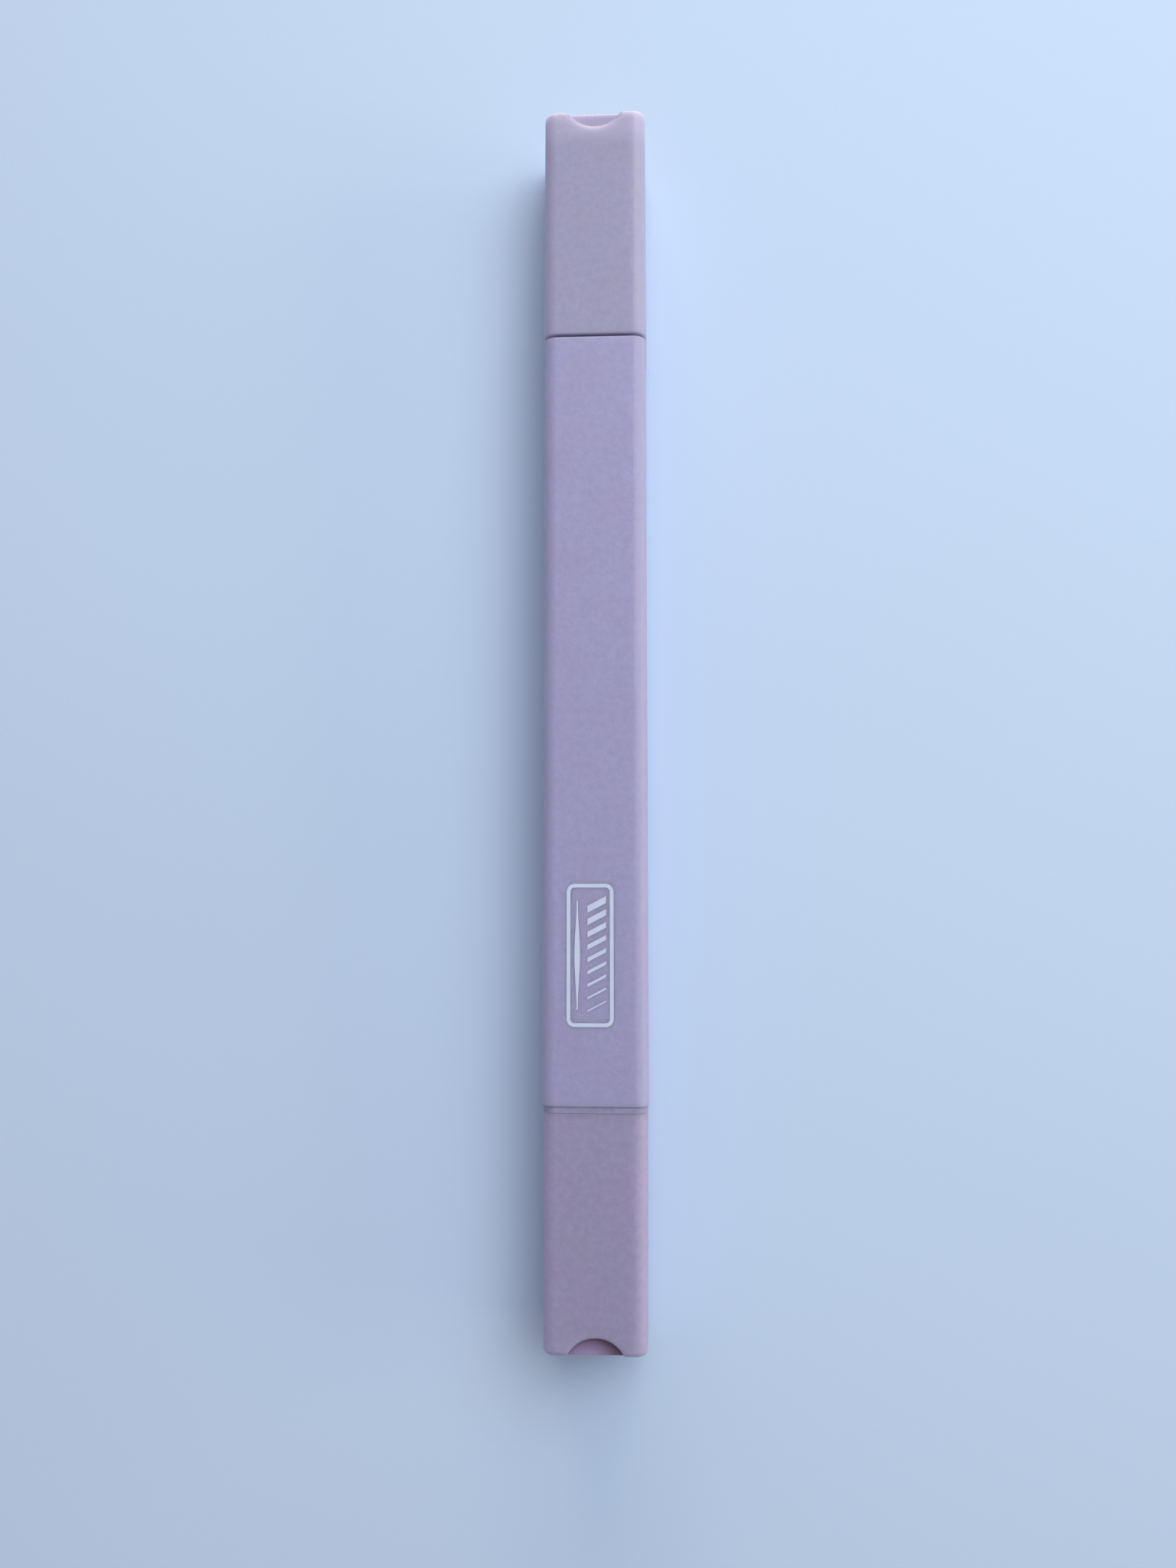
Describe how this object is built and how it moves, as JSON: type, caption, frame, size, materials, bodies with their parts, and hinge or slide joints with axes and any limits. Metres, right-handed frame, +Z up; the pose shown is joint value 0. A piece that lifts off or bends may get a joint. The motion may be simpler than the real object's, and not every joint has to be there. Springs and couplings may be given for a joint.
{
  "type": "calligraphy marker",
  "caption": "Slim square double-ended calligraphy marker with a chisel nib at one end and a bullet nib at the other, each under a pull-off cap.",
  "frame": {"origin": "on the resting surface, below the middle of the marker's length", "axes": "+Y along the marker towards the chisel nib, +Z up out of the printed face, +X to the right seen from above with the chisel end away"},
  "size_m": [0.0122, 0.1442, 0.0121],
  "materials": {
    "barrel_plastic": "fine matte moulded plastic, mauve",
    "chisel_cap_plastic": "fine matte moulded plastic, mauve",
    "bullet_cap_plastic": "fine matte moulded plastic, pinker mauve",
    "section_plastic": "satin moulded plastic, mauve",
    "inner_cap_plastic": "soft satin moulded plastic, mauve",
    "nib_felt": "dense felt soaked with violet ink",
    "reservoir_fibre": "bonded fibre rod soaked with violet ink",
    "clear_film": "thin translucent plastic film"
  },
  "bodies": {
    "barrel": {"barrel": "barrel_plastic", "chisel_section": "section_plastic", "bullet_section": "section_plastic", "ink_reservoir": "reservoir_fibre", "reservoir_sleeve": "clear_film", "chisel_nib": "nib_felt", "bullet_nib": "nib_felt"},
    "chisel_cap": {"chisel_cap_shell": "chisel_cap_plastic", "chisel_inner_cap": "inner_cap_plastic"},
    "bullet_cap": {"bullet_cap_shell": "bullet_cap_plastic", "bullet_inner_cap": "inner_cap_plastic"}
  },
  "joints": [
    {"name": "chisel_cap_slide", "type": "slide", "parent": "barrel", "child": "chisel_cap", "axis": [0, 1, 0], "range_m": [0, 0.035]},
    {"name": "bullet_cap_slide", "type": "slide", "parent": "barrel", "child": "bullet_cap", "axis": [0, -1, 0], "range_m": [0, 0.035]}
  ]
}
